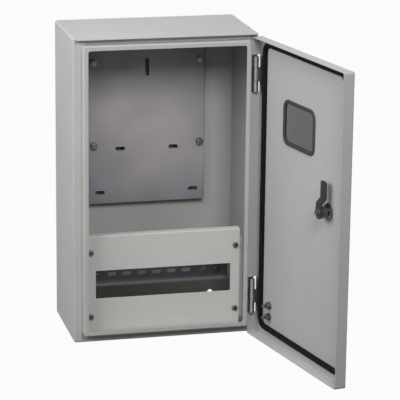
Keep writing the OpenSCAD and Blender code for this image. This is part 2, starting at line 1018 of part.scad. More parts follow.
module door_gasket() {
  color("black")
    on_door()
      translate([0, skin_in_y, rim_mid])
        rotate([-90, 0, 0])
          gasket_ring();
}

// Ring between two rounded rectangles that grow from the cut-out by out_by and shrink by in_by
module window_ring(out_by, in_by) {
  difference() {
    rounded_rect(window_w + 2 * out_by, window_h + 2 * out_by, window_r + out_by);
    rounded_rect(window_w - 2 * in_by, window_h - 2 * in_by, window_r - in_by);
  }
}

// Rubber profile with a groove for the sheet outside and a groove for the pane inside
module window_seal() {
  color("black")
    on_door()
      translate([window_x, seal_y, window_z])
        difference() {
          translate([0, seal_t / 2, 0])
            plate_to_front(seal_t)
              window_ring(seal_reach, seal_reach);
          translate([0, door_t / 2 + seat_gap, 0])
            plate_to_front(door_t + 2 * seat_gap)
              window_ring(seal_reach + cut, seat_gap);
          translate([0, pane_t / 2 + seat_gap, 0])
            plate_to_front(pane_t + 2 * seat_gap)
              window_ring(-seal_web - seat_gap, seal_reach + cut);
        }
}

module window_pane() {
  shrink = seal_web + 2 * seat_gap;
  color("gray", 0.5)
    on_door()
      translate([window_x, seal_y + pane_t / 2, window_z])
        plate_to_front(pane_t)
          rounded_rect(window_w - 2 * shrink, window_h - 2 * shrink, window_r - shrink);
}

// Lock

// Round barrel with two flats, grown by a gap
module barrel_shape(gap) {
  intersection() {
    circle(d = barrel_d + 2 * gap);
    square([barrel_flat + 2 * gap, barrel_d + 2 * gap + cut], center = true);
  }
}

// Draws what belongs to the lock round its axis, with y as in the closed door
module at_lock() {
  on_door()
    translate([-lock_x, 0, lock_z])
      children();
}

module lock_housing() {
  color("silver")
    at_lock()
      difference() {
        union() {
          translate([0, skin_y, 0])
            plate_to_front(bezel_t - bezel_bevel)
              circle(d = bezel_d);
          facing_front([0, skin_y - bezel_t + bezel_bevel, 0])
            cylinder(d1 = bezel_d, d2 = bezel_d - 2 * bezel_bevel, h = bezel_bevel);
          translate([0, barrel_end_y, 0])
            plate_to_front(barrel_len + cut)
              barrel_shape(0);
        }
        translate([0, barrel_end_y + cut, 0])
          plate_to_front(barrel_len + bezel_t + 2 * cut)
            circle(d = plug_d + 2 * running_gap);
        translate([0, skin_y - bezel_t + plug_head_t + running_gap, 0])
          plate_to_front(plug_head_t + cut)
            circle(d = plug_head_d + 2 * running_gap);
      }
}

module lock_nut() {
  color("silver")
    at_lock()
      translate([0, skin_in_y + lock_nut_t, 0])
        difference() {
          plate_to_front(lock_nut_t)
            circle(d = lock_nut_af / cos(30), $fn = 6);
          translate([0, cut, 0])
            plate_to_front(lock_nut_t + 2 * cut)
              circle(d = barrel_d + 2 * thread_gap);
        }
}

module lock_plug() {
  key_w = 2;
  key_len = 8;
  key_depth = 6;
  front = skin_y - bezel_t;
  color("silver")
    at_lock()
      difference() {
        union() {
          translate([0, front + plug_head_t, 0])
            plate_to_front(plug_head_t)
              circle(d = plug_head_d);
          translate([0, barrel_end_y + running_gap, 0])
            plate_to_front(barrel_end_y + running_gap - front - plug_head_t / 2)
              circle(d = plug_d);
          translate([0, barrel_end_y + running_gap + cam_t, 0])
            plate_to_front(cam_t + cut)
              square(cam_square, center = true);
        }
        translate([0, front + key_depth, 0])
          plate_to_front(key_depth + cut)
            square([key_w, key_len], center = true);
        translate([0, barrel_end_y + cam_t + cut, 0])
          plate_to_front(cam_screw_len + 2 * cut)
            circle(d = screw_d + 2 * thread_gap);
      }
}

// Joggled strip drawn in Z (across) and Y: the base sits on the plug, the tongue nearer the lip
module cam_section() {
  base_y = barrel_end_y + running_gap;
  step_from = bezel_d / 2;
  step_to = step_from + (base_y - tongue_y);
  polygon([
    [-cam_w, base_y],
    [step_from, base_y],
    [step_to, tongue_y],
    [cam_len, tongue_y],
    [cam_len, tongue_y + cam_t],
    [step_to + cam_t / 2, tongue_y + cam_t],
    [step_from + cam_t / 2, base_y + cam_t],
    [-cam_w, base_y + cam_t]
  ]);
}

// Outline of the cam in X and Z: a round eye and a tongue with a round tip
module cam_outline() {
  tip_r = cam_w / 4;
  circle(d = cam_eye_d);
  translate([0, cam_len / 2])
    rounded_rect(cam_w, cam_len, tip_r);
}

module lock_cam() {
  color("dimgray")
    at_lock()
      difference() {
        intersection() {
          along_x(cam_eye_d + 2 * cut)
            cam_section();
          translate([0, barrel_end_y + cam_w, 0])
            plate_to_front(barrel_end_y + 2 * cam_w - tongue_y)
              cam_outline();
        }
        translate([0, barrel_end_y + cam_w, 0])
          plate_to_front(2 * cam_w)
            square(cam_square + 2 * seat_gap, center = true);
      }
}

module cam_screw() {
  seat_y = barrel_end_y + running_gap + cam_t;
  color("silver")
    at_lock()
      translate([0, seat_y, 0])
        rotate([-90, 0, 0]) {
          cylinder(d = washer_d, h = washer_t);
          translate([0, 0, washer_t])
            hex_prism(cam_screw_af, screw_head_h);
          translate([0, 0, -cam_screw_len])
            cylinder(d = screw_d, h = cam_screw_len + washer_t);
        }
}

body_wrap();
back_panel();
front_frame();
cable_grommets();
hinge_body_leaves();
hinge_pins();
meter_plate();
plate_standoffs();
plate_nuts();
cover_bracket_left();
cover_bracket_right();
lower_cover();
cover_screws();
din_rail();
rail_supports();
rail_screws();
neutral_bar();
neutral_bar_feet();
neutral_screws();
earth_bar();
earth_bar_feet();
earth_screws();
body_earth_stud();
body_earth_nut();
door_panel();
door_gasket();
window_seal();
window_pane();
hinge_door_leaves();
door_earth_studs();
door_earth_nuts();
lock_housing();
lock_nut();
lock_plug();
lock_cam();
cam_screw();
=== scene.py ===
# %% [markdown]
# # A wall cabinet for an electricity meter
# The cabinet is a box of folded steel sheet with a light grey powder coat. A zinc-plated plate
# carries the meter, a cover with a long slot shows the fronts of the modular devices, and the
# door stands open on two concealed hinges.
# The rigid pieces come from the CAD model at their real size and place. This lesson gives each
# of them its finish, and models the soft seals and most of the fasteners again, with the rounded
# lips, threads and chamfers that a plain solid leaves out.

# %% Loading the frame
import json
import math

import bmesh
import bpy
from mathutils import Matrix, Vector, noise


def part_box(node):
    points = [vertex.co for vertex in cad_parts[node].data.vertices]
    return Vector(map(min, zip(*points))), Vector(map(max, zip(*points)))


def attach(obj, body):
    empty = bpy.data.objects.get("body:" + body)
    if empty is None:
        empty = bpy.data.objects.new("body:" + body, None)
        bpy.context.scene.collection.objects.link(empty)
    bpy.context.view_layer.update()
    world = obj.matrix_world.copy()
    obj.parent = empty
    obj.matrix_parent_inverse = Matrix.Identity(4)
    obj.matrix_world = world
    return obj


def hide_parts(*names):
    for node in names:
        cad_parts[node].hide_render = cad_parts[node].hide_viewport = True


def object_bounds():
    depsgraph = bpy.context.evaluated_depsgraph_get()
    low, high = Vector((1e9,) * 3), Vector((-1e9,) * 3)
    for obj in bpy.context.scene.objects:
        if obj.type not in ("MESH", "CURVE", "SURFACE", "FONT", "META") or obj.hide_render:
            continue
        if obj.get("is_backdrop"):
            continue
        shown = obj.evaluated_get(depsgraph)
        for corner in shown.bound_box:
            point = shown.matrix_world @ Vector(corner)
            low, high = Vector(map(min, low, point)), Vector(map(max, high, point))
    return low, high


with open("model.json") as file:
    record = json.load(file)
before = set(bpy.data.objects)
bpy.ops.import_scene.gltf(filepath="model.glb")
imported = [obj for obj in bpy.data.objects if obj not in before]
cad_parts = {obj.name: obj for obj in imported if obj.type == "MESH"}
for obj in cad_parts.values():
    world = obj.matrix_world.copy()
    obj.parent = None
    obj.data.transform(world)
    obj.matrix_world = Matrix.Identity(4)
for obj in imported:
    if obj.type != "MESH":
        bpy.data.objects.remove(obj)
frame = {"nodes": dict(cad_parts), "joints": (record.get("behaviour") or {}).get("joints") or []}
cad_low, cad_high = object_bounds()
nodes = frame["nodes"]
MM = 0.001
print("CAD box in mm:", [round(side / MM, 1) for side in cad_high - cad_low])

# %% [markdown]
# ## Where things are
# The door was drawn closed and then turned open, so its pieces lie at an odd angle. It is
# easier to measure and model them on the closed door and to turn the result. The joint in the
# record gives the hinge axis, and its lower limit says how far the door stands open.
# A CAD node can hold several equal solids, such as four nuts. Walking along the edges from
# point to point finds each of them, and its box says where a modelled one has to go.

# %% The closed door and the separate solids
swing = next(joint for joint in frame["joints"] if joint["name"] == "door_swing")
hinge_axis = Vector(swing["pos_m"])
open_angle = math.radians(-swing["range_deg"][0])
to_open = (
    Matrix.Translation(hinge_axis)
    @ Matrix.Rotation(open_angle, 4, "Z")
    @ Matrix.Translation(-hinge_axis)
)
to_closed = to_open.inverted()
AT_REST = Matrix.Identity(4)
MERGE = 0.001 * MM
SORT_DIGITS = 5


def solids_of(node, turn=AT_REST):
    """The lowest and highest corner of each separate solid of a CAD node, after a turn."""
    bm = bmesh.new()
    bm.from_mesh(nodes[node].data)
    bm.transform(turn)
    bmesh.ops.remove_doubles(bm, verts=bm.verts, dist=MERGE)
    boxes = []
    waiting = set(bm.verts)
    while waiting:
        found = [waiting.pop()]
        for vert in found:
            for edge in vert.link_edges:
                other = edge.other_vert(vert)
                if other in waiting:
                    waiting.remove(other)
                    found.append(other)
        low = Vector([min(vert.co[i] for vert in found) for i in range(3)])
        high = Vector([max(vert.co[i] for vert in found) for i in range(3)])
        boxes.append((low, high))
    bm.free()
    return sorted(boxes, key=lambda box: [round(x, SORT_DIGITS) for x in box[0]])


print("the door stands open by", round(math.degrees(open_angle)), "degrees")

# %% [markdown]
# ## Colours and nodes
# A colour is written as the sRGB hex value that an eye would pick, and the shader wants linear
# light, so one function turns one into the other. Another adds a node, sets it and links it, and
# a third starts a material with its shader and its coordinates. Every pattern reads Object
# coordinates, which are metres here, so a pattern's scale is one over its real size.

# %% Helpers for materials


def linear(hex_colour):
    """Linear RGBA of an sRGB hex colour such as #C0C0BD, by the curve of the sRGB standard."""
    srgb = [int(hex_colour[i : i + 2], 16) / 255 for i in (1, 3, 5)]
    return [c / 12.92 if c <= 0.04045 else ((c + 0.055) / 1.055) ** 2.4 for c in srgb] + [1.0]


def add_node(tree, kind, settings=None, inputs=None):
    """Adds a shader node, sets its properties, and sets or links its inputs."""
    made = tree.nodes.new("ShaderNode" + kind)
    for name, value in (settings or {}).items():
        setattr(made, name, value)
    for name, value in (inputs or {}).items():
        if isinstance(value, bpy.types.NodeSocket):
            tree.links.new(value, made.inputs[name])
        else:
            made.inputs[name].default_value = value
    return made


def start_material(name):
    """A material with a plain Principled shader: itself, its tree, shader and coordinates."""
    material = bpy.data.materials.new(name)
    material.use_nodes = True
    tree = material.node_tree
    tree.nodes.clear()
    shader = add_node(tree, "BsdfPrincipled")
    add_node(tree, "OutputMaterial", inputs={"Surface": shader.outputs["BSDF"]})
    place = add_node(tree, "TexCoord").outputs["Object"]
    return material, tree, shader, place


def per_metre(size_mm):
    """Scale of a pattern whose features are that many millimetres across."""
    return 1 / (size_mm * MM)


print("a pattern that repeats every 2 mm has the scale", round(per_metre(2)))

# %% [markdown]
# ## Powder coat
# Body, door and cover are steel sheet with polyester powder baked on. The powder flows to a
# closed film with a fine orange peel, about 2 mm from crest to crest. It is nearly matt: its
# gloss is weak and broad, and shows at flat angles alone. A real coat also varies by a shade
# over a hand's width, where the film is thicker. Two noises do this: a coarse one tints, and a
# fine one lifts the surface. The cover's coat is a shade lighter than the body's.

# %% Powder-coated steel
PEEL_MM = 2.2
PEEL_LIFT_MM = 0.06
CLOUD_MM = 140
SHADE_SPAN = (0.3, 0.7)


def powder_coated(name, dark, light):
    """A powder coat whose tint wanders between two shades."""
    material, tree, shader, place = start_material(name)
    cloud = add_node(
        tree, "TexNoise", inputs={"Vector": place, "Scale": per_metre(CLOUD_MM), "Detail": 3.0}
    )
    tint = add_node(tree, "ValToRGB", inputs={"Fac": cloud.outputs["Fac"]})
    for stop, position, colour in zip(tint.color_ramp.elements, SHADE_SPAN, (dark, light)):
        stop.position = position
        stop.color = linear(colour)
    peel = add_node(
        tree, "TexNoise", inputs={"Vector": place, "Scale": per_metre(PEEL_MM), "Detail": 2.0}
    )
    bump = add_node(
        tree,
        "Bump",
        inputs={"Height": peel.outputs["Fac"], "Strength": 0.35, "Distance": PEEL_LIFT_MM * MM},
    )
    gloss = add_node(
        tree, "MapRange", inputs={"Value": peel.outputs["Fac"], "To Min": 0.50, "To Max": 0.60}
    )
    tree.links.new(tint.outputs["Color"], shader.inputs["Base Color"])
    tree.links.new(gloss.outputs["Result"], shader.inputs["Roughness"])
    tree.links.new(bump.outputs["Normal"], shader.inputs["Normal"])
    shader.inputs["Specular IOR Level"].default_value = 0.1
    return material


powder_coat = powder_coated("powder_coated_steel", "#BBBBB9", "#C1C1BF")
cover_coat = powder_coated("powder_coated_cover", "#CFCFCC", "#D5D5D2")
print("orange peel every", PEEL_MM, "mm")

# %% [markdown]
# ## Zinc on sheet
# The meter plate, the rail and its supports are cold-rolled sheet with a thin zinc layer that
# was passivated. The crystals of the layer scatter most of the light, so the plate looks more
# like grey paint than like a mirror, with a satin sheen, a faint cast between blue and pink, and
# lines along the rolling direction. The lines are a noise that is stretched forty times along
# the height; real ones are finer than 0.1 mm, so they are drawn at 0.9 mm to show.
# A gradient that falls off from the plate's centre paints a highlight into the colour: the plate
# is brighter in the middle and darker towards its edges, and what lies farther away than its
# reach stays dull.

# %% Zinc-plated sheet
zinc_sheet, tree, shader, place = start_material("zinc_plated_sheet")
LINE_MM = 0.9
LINE_LIFT_MM = 0.03
LINE_STRETCH = 40
PASSIVE_MM = 70
PASSIVE_SHARE = 0.5
# Reach and share of a painted highlight that brightens the middle of the plate.
PAINTED_HIGHLIGHT_MM = 190
PAINTED_HIGHLIGHT_SHARE = 0.8
CAST_SPAN = (0.35, 1.0)
stretched = add_node(
    tree, "Mapping", inputs={"Vector": place, "Scale": (1.0, 1.0, 1.0 / LINE_STRETCH)}
)
lines = add_node(
    tree,
    "TexNoise",
    inputs={"Vector": stretched.outputs["Vector"], "Scale": per_metre(LINE_MM), "Detail": 2.0},
)
passive = add_node(
    tree, "TexNoise", inputs={"Vector": place, "Scale": per_metre(PASSIVE_MM), "Detail": 1.0}
)
plate_low, plate_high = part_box("meter_plate")
from_centre = add_node(
    tree,
    "Mapping",
    inputs={
        "Vector": place,
        "Location": -(plate_low + plate_high) / 2 * per_metre(PAINTED_HIGHLIGHT_MM),
        "Scale": Vector((1, 1, 1)) * per_metre(PAINTED_HIGHLIGHT_MM),
    },
)
# Painted highlight: brighter at the plate's centre, and darker towards its edges and beyond.
painted_highlight = add_node(
    tree, "TexGradient", {"gradient_type": "SPHERICAL"}, {"Vector": from_centre.outputs["Vector"]}
)
clouds = add_node(
    tree, "Math", {"operation": "MULTIPLY"}, {0: passive.outputs["Fac"], 1: PASSIVE_SHARE}
)
clouds_and_painted_highlight = add_node(
    tree,
    "Math",
    {"operation": "MULTIPLY_ADD"},
    {0: painted_highlight.outputs["Fac"], 1: PAINTED_HIGHLIGHT_SHARE, 2: clouds.outputs[0]},
)
tint_and_painted_highlight = add_node(tree, "ValToRGB", inputs={"Fac": clouds_and_painted_highlight.outputs[0]})
for stop, position, colour in zip(tint_and_painted_highlight.color_ramp.elements, CAST_SPAN, ("#8E8E94", "#C6C0C4")):
    stop.position = position
    stop.color = linear(colour)
satin = add_node(
    tree, "MapRange", inputs={"Value": lines.outputs["Fac"], "To Min": 0.42, "To Max": 0.56}
)
rolled = add_node(
    tree,
    "Bump",
    inputs={"Height": lines.outputs["Fac"], "Strength": 0.12, "Distance": LINE_LIFT_MM * MM},
)
tree.links.new(tint_and_painted_highlight.outputs["Color"], shader.inputs["Base Color"])
tree.links.new(satin.outputs["Result"], shader.inputs["Roughness"])
tree.links.new(rolled.outputs["Normal"], shader.inputs["Normal"])
shader.inputs["Metallic"].default_value = 0.04
shader.inputs["Specular IOR Level"].default_value = 0.15
print("rolling lines every", LINE_MM, "mm")

# %% [markdown]
# ## Turned and pressed metal
# Screws, nuts, hinges, the lock and the terminal bars are all bare or plated metal. They differ
# in colour, in how smooth they are and in the size of the marks that turning, pressing or
# casting left. One function makes them from those facts.

# %% Plated, cast and drawn metals


def worked_metal(name, dark, light, mark_mm, smooth, rough, lift_mm):
    """A metal whose marks are mark_mm across, shade from dark to light and change its gloss."""
    material, tree, shader, place = start_material(name)
    marks = add_node(
        tree, "TexNoise", inputs={"Vector": place, "Scale": per_metre(mark_mm), "Detail": 3.0}
    )
    shade = add_node(tree, "ValToRGB", inputs={"Fac": marks.outputs["Fac"]})
    for stop, position, colour in zip(shade.color_ramp.elements, SHADE_SPAN, (dark, light)):
        stop.position = position
        stop.color = linear(colour)
    gloss = add_node(
        tree, "MapRange", inputs={"Value": marks.outputs["Fac"], "To Min": smooth, "To Max": rough}
    )
    lift = add_node(
        tree,
        "Bump",
        inputs={"Height": marks.outputs["Fac"], "Strength": 0.3, "Distance": lift_mm * MM},
    )
    tree.links.new(shade.outputs["Color"], shader.inputs["Base Color"])
    tree.links.new(gloss.outputs["Result"], shader.inputs["Roughness"])
    tree.links.new(lift.outputs["Normal"], shader.inputs["Normal"])
    shader.inputs["Metallic"].default_value = 1.0
    return material


dull_zinc = worked_metal(
    "dull_zinc_plating", "#606264", "#767879", mark_mm=2.5, smooth=0.36, rough=0.50, lift_mm=0.01
)
hinge_zinc = worked_metal(
    "zinc_plated_hinge_steel", "#868786", "#9A9B99", mark_mm=4.0, smooth=0.34, rough=0.48, lift_mm=0.02
)
dark_nickel = worked_metal(
    "dark_nickel_plating", "#646463", "#7C7C7A", mark_mm=5.0, smooth=0.18, rough=0.30, lift_mm=0.01
)
oiled_steel = worked_metal(
    "dark_oiled_steel", "#4C4C4B", "#60605F", mark_mm=3.0, smooth=0.34, rough=0.50, lift_mm=0.02
)
brass = worked_metal(
    "drawn_brass", "#B08C42", "#C9A558", mark_mm=6.0, smooth=0.26, rough=0.38, lift_mm=0.01
)
print("metals:", [metal.name for metal in (dull_zinc, hinge_zinc, dark_nickel, oiled_steel, brass)])

# %% [markdown]
# ## Rubber and plastic
# The door's gasket is foamed rubber: a black skin with burst cells half a millimetre wide, dull
# all over. The window's profile and the cable grommets are solid moulded rubber, smoother and
# with a little gloss: the profile's black has a grey bloom, and the grommets are grey all
# through. The bars' feet are moulded polyamide with a fine spark-eroded grain. All of them are a
# cell pattern over two near shades, so one function makes them. The patterns are drawn coarser
# than the real ones, at 0.8 to 2 mm, to show.

# %% Moulded rubber and polyamide
CELL_SPAN = (0.0, 0.8)


def moulded(name, dark, light, grain_mm, rough, shine, lift_mm):
    """A soft or hard plastic with cells or grain of that size."""
    material, tree, shader, place = start_material(name)
    cells = add_node(tree, "TexVoronoi", inputs={"Vector": place, "Scale": per_metre(grain_mm)})
    shade = add_node(tree, "ValToRGB", inputs={"Fac": cells.outputs["Distance"]})
    for stop, position, colour in zip(shade.color_ramp.elements, CELL_SPAN, (light, dark)):
        stop.position = position
        stop.color = linear(colour)
    lift = add_node(
        tree,
        "Bump",
        inputs={"Height": cells.outputs["Distance"], "Strength": 0.4, "Distance": lift_mm * MM},
    )
    tree.links.new(shade.outputs["Color"], shader.inputs["Base Color"])
    tree.links.new(lift.outputs["Normal"], shader.inputs["Normal"])
    shader.inputs["Roughness"].default_value = rough
    shader.inputs["Specular IOR Level"].default_value = shine
    return material


foam_rubber = moulded(
    "foamed_black_rubber", "#0E0E0E", "#161616", grain_mm=1.2, rough=0.90, shine=0.15, lift_mm=0.15
)
solid_rubber = moulded(
    "moulded_black_rubber", "#3E3E3D", "#484847", grain_mm=2.0, rough=0.60, shine=0.25, lift_mm=0.03
)
grey_rubber = moulded(
    "moulded_grey_rubber", "#4A4B4B", "#565757", grain_mm=2.0, rough=0.60, shine=0.35, lift_mm=0.03
)
blue_polyamide = moulded(
    "blue_polyamide", "#1D4C93", "#2558A6", grain_mm=0.8, rough=0.50, shine=0.45, lift_mm=0.02
)
green_polyamide = moulded(
    "green_polyamide", "#5F8F2A", "#6FA232", grain_mm=0.8, rough=0.50, shine=0.45, lift_mm=0.02
)
print("rubbers:", [rubber.name for rubber in (foam_rubber, solid_rubber, grey_rubber)])

# %% [markdown]
# ## The pane
# A meter is read through a small pane of smoke-grey clear plastic. Light passes two faces, and
# the shader tints it at each of them, so that the base colour is the tint of the whole sheet. A
# very weak haze in the gloss keeps the faces from looking like empty air.

# %% Smoked acrylic
smoked_acrylic, tree, shader, place = start_material("smoked_acrylic")
HAZE_MM = 30
haze = add_node(tree, "TexNoise", inputs={"Vector": place, "Scale": per_metre(HAZE_MM)})
polish = add_node(
    tree, "MapRange", inputs={"Value": haze.outputs["Fac"], "To Min": 0.04, "To Max": 0.12}
)
tree.links.new(polish.outputs["Result"], shader.inputs["Roughness"])
shader.inputs["Base Color"].default_value = linear("#6C6B68")
shader.inputs["IOR"].default_value = 1.49
shader.inputs["Transmission Weight"].default_value = 1.0
print("haze every", HAZE_MM, "mm")

# %% [markdown]
# ## Finishes for the CAD pieces
# Each rigid piece keeps its CAD mesh and gets its finish here, by node name.

# %% Dressing the CAD nodes
finishes = {
    powder_coat: [
        "body_wrap", "back_panel", "front_frame", "door_panel",
        "cover_bracket_left", "cover_bracket_right",
    ],
    cover_coat: ["lower_cover"],
    zinc_sheet: ["meter_plate", "din_rail", "rail_supports"],
    dull_zinc: ["neutral_screws", "earth_screws"],
    hinge_zinc: ["hinge_body_leaves", "hinge_door_leaves", "hinge_pins"],
    dark_nickel: ["lock_housing", "lock_plug"],
    oiled_steel: ["lock_cam"],
    brass: ["neutral_bar", "earth_bar"],
    blue_polyamide: ["neutral_bar_feet"],
    green_polyamide: ["earth_bar_feet"],
    smoked_acrylic: ["window_pane"],
}
for finish, names in finishes.items():
    for name in names:
        nodes[name].data.materials.clear()
        nodes[name].data.materials.append(finish)
print("dressed", sum(len(names) for names in finishes.values()), "CAD nodes")

# %% [markdown]
# ## Making a piece
# A piece is shaped in a bmesh, then written to a mesh object at the origin with its place in
# its points, as the CAD nodes are. Faces that meet at more than the given angle stay sharp.

# %% Writing a piece
SHARP_ANGLE = math.radians(35)


def make_piece(name, bm, finish, body, stands_for):
    """Writes the bmesh to an object that rides on a body and stands for CAD nodes."""
    bmesh.ops.recalc_face_normals(bm, faces=bm.faces)
    mesh = bpy.data.meshes.new(name)
    bm.to_mesh(mesh)
    bm.free()
    mesh.materials.append(finish)
    mesh.shade_smooth()
    mesh.set_sharp_from_angle(angle=SHARP_ANGLE)
    piece = bpy.data.objects.new(name, mesh)
    bpy.context.scene.collection.objects.link(piece)
    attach(piece, body)
    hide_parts(*stands_for)
    print(name, "has", len(mesh.polygons), "faces")


def add_part(bm, part, place):
    """Moves a finished bmesh to its place and adds it to another."""
    bmesh.ops.recalc_face_normals(part, faces=part.faces)
    part.transform(place)
    carrier = bpy.data.meshes.new("carrier")
    part.to_mesh(carrier)
    part.free()
    bm.from_mesh(carrier)
    bpy.data.meshes.remove(carrier)


print("edges stay sharp from", round(math.degrees(SHARP_ANGLE)), "degrees")

# %% [markdown]
# ## Lines that operators lead on
# Most shapes here start as a line of a few points. Spinning it round an axis gives a turned
# part, and extruding it gives a wall. An operator returns points, edges and faces in one list,
# so two helpers pick out what the next operator takes.

# %% Chains, turned parts and extruded edges
FULL_TURN = 2 * math.pi
TURN_STEPS = 36


def chain(bm, points, closed):
    """Points joined by edges, in order."""
    verts = [bm.verts.new(point) for point in points]
    ends = verts[1:] + verts[:1] if closed else verts[1:]
    return [bm.edges.new(pair) for pair in zip(verts, ends)]


def turned(profile, closed=True, steps=TURN_STEPS):
    """A bmesh turned round Z from points given as radius and height."""
    bm = bmesh.new()
    edges = chain(bm, [(radius, 0, height) for radius, height in profile], closed)
    geom = edges + list(bm.verts)
    bmesh.ops.spin(
        bm, geom=geom, cent=(0, 0, 0), axis=(0, 0, 1), angle=FULL_TURN, steps=steps, use_merge=True
    )
    bmesh.ops.remove_doubles(bm, verts=bm.verts, dist=MERGE)
    return bm


def only(kind, parts):
    """Those of an operator's results that are points, edges or faces."""
    return [part for part in parts if isinstance(part, kind)]


def extruded(bm, edges):
    """Extrudes edges on the spot. Gives the new points and the new edges between them."""
    made = bmesh.ops.extrude_edge_only(bm, edges=edges)["geom"]
    verts = only(bmesh.types.BMVert, made)
    new_edges = only(bmesh.types.BMEdge, made)
    return verts, [edge for edge in new_edges if all(vert in verts for vert in edge.verts)]


print("a turned part has", TURN_STEPS, "sides")

# %% [markdown]
# ## A profile round a rounded rectangle
# Gasket and window seal are one section led round a frame with round corners. An operator can
# do each stretch: extrude the section along a side, spin it round a corner, and go on with
# the edges that the operator made last. The section is given as steps outwards and along +Y.

# %% Sweeping a section round a frame
CORNER_STEPS = 8


def swept_frame(section, half_w, half_h, radius, start_z, gap, side_steps):
    """A section led round a frame in X and Z, from a joint on the +X side back to it."""
    bm = bmesh.new()
    edges = chain(bm, [(half_w + out, along, start_z + gap / 2) for out, along in section], True)
    first = list(edges)
    run_w, run_h = half_w - radius, half_h - radius

    def side(vector):
        nonlocal edges
        for _ in range(side_steps):
            verts, edges = extruded(bm, edges)
            bmesh.ops.translate(bm, verts=verts, vec=vector / side_steps)

    def corner(x, z):
        nonlocal edges
        verts = list({vert for edge in edges for vert in edge.verts})
        made = bmesh.ops.spin(
            bm,
            geom=edges + verts,
            cent=(x, 0, z),
            axis=(0, -1, 0),
            angle=math.pi / 2,
            steps=CORNER_STEPS,
        )["geom_last"]
        edges = only(bmesh.types.BMEdge, made)

    side(Vector((0, 0, run_h - start_z - gap / 2)))
    corner(run_w, run_h)
    side(Vector((-2 * run_w, 0, 0)))
    corner(-run_w, run_h)
    side(Vector((0, 0, -2 * run_h)))
    corner(-run_w, -run_h)
    side(Vector((2 * run_w, 0, 0)))
    corner(run_w, -run_h)
    side(Vector((0, 0, start_z - gap / 2 + run_h)))
    if gap:
        bmesh.ops.edgeloop_fill(bm, edges=first)
        bmesh.ops.edgeloop_fill(bm, edges=edges)
    bmesh.ops.remove_doubles(bm, verts=bm.verts, dist=MERGE)
    return bm


print("a round corner has", CORNER_STEPS, "steps")

# %% [markdown]
# ## The door's gasket
# A bead of foamed rubber is laid all round the inside of the door, with round corners, and its
# two ends meet on the hinge side with a small swelling. The foam rises and spreads as it cures,
# so the finished bead is wider than the one that was laid. It is never quite even and wavers by
# about a tenth of a millimetre. The CAD solid gives its place and height.

# %% Foam gasket
LAID_W = 6 * MM
GASKET_W = 8.5 * MM
GASKET_CROWN = 3.4 * MM
GASKET_CORNER = 14 * MM
GASKET_STEPS = 48
JOINT_Z = 38 * MM
JOINT_GAP = 0.3 * MM
JOINT_REACH = 16 * MM
JOINT_SWELL = 0.10
WAVER = 0.12 * MM
WAVER_MM = 12
WAVER_ROOM = 0.2 * MM
ARC_STEPS = 8
((gasket_low, gasket_high),) = solids_of("door_gasket", to_closed)
bead_h = gasket_high.y - gasket_low.y - WAVER_ROOM
bead_r = GASKET_W / 2
section = [(-bead_r, 0), (bead_r, 0)]
for step in range(ARC_STEPS + 1):
    angle = math.pi * step / ARC_STEPS
    crown = GASKET_CROWN * math.sin(angle)
    section.append((bead_r * math.cos(angle), bead_h - GASKET_CROWN + crown))
half = (gasket_high - gasket_low) / 2
line_x, line_z = half.x - LAID_W / 2, half.z - LAID_W / 2
bm = swept_frame(section, line_x, line_z, GASKET_CORNER, JOINT_Z, JOINT_GAP, GASKET_STEPS)
for vert in bm.verts:
    waver = noise.noise(vert.co * per_metre(WAVER_MM)) * WAVER
    height = vert.co.y / bead_h
    vert.co.y += height * min(waver, WAVER_ROOM / 2)
    if vert.co.x > line_x - GASKET_W:
        near = max(0.0, 1 - abs(vert.co.z - JOINT_Z) / JOINT_REACH)
        vert.co.x = line_x + (vert.co.x - line_x) * (1 + JOINT_SWELL * near * height)
middle = (gasket_low + gasket_high) / 2
bm.transform(to_open @ Matrix.Translation((middle.x, gasket_low.y, middle.z)))
make_piece("foam_gasket", bm, foam_rubber, "door", ["door_gasket"])

# %% [markdown]
# ## The window's rubber profile
# The profile grips the sheet with one groove and the pane with the other. Its lips have round
# edges. The section is an H: its upper half is drawn with a quarter arc at each edge and then
# mirrored, and the same sweep takes it round the cut-out.

# %% Window seal
SEAL_REACH = 3.2 * MM
SEAL_CORNER = 12 * MM
SEAL_STEPS = 2
SHEET_HALF = 0.7 * MM
PANE_HALF = 1.1 * MM
SHEET_GROOVE = 0.1 * MM
PANE_GROOVE = -1.1 * MM
LIP_ROUND = 0.8 * MM
QUARTER_STEPS = ARC_STEPS // 2
((seal_low, seal_high),) = solids_of("window_seal", to_closed)
seal_half = (seal_high - seal_low) / 2
quarter = []
for step in range(QUARTER_STEPS + 1):
    angle = math.pi / 2 * step / QUARTER_STEPS
    quarter.append((LIP_ROUND * math.sin(angle), LIP_ROUND * math.cos(angle)))
arc_y = seal_half.y - LIP_ROUND
upper = [(-SEAL_REACH, PANE_HALF)]
upper += [(-SEAL_REACH + LIP_ROUND - out, arc_y + up) for out, up in reversed(quarter)]
upper += [(SEAL_REACH - LIP_ROUND + out, arc_y + up) for out, up in quarter]
upper += [(SEAL_REACH, SHEET_HALF), (SHEET_GROOVE, SHEET_HALF)]
lower = [(out, -along) for out, along in reversed(upper)]
grooved = upper + lower + [(PANE_GROOVE, -PANE_HALF), (PANE_GROOVE, PANE_HALF)]
seal_w, seal_h = seal_half.x - SEAL_REACH, seal_half.z - SEAL_REACH
bm = swept_frame(grooved, seal_w, seal_h, SEAL_CORNER, 0, 0, SEAL_STEPS)
bm.transform(to_open @ Matrix.Translation((seal_low + seal_high) / 2))
make_piece("window_profile", bm, solid_rubber, "door", ["window_seal"])

# %% [markdown]
# ## Cable grommets
# A grommet snaps into its hole in the bottom. Its membrane is moulded in rings that step up to
# the middle, and the fitter cuts it at the ring that suits the cable. It is a turned part, so
# half its section is spun once round.

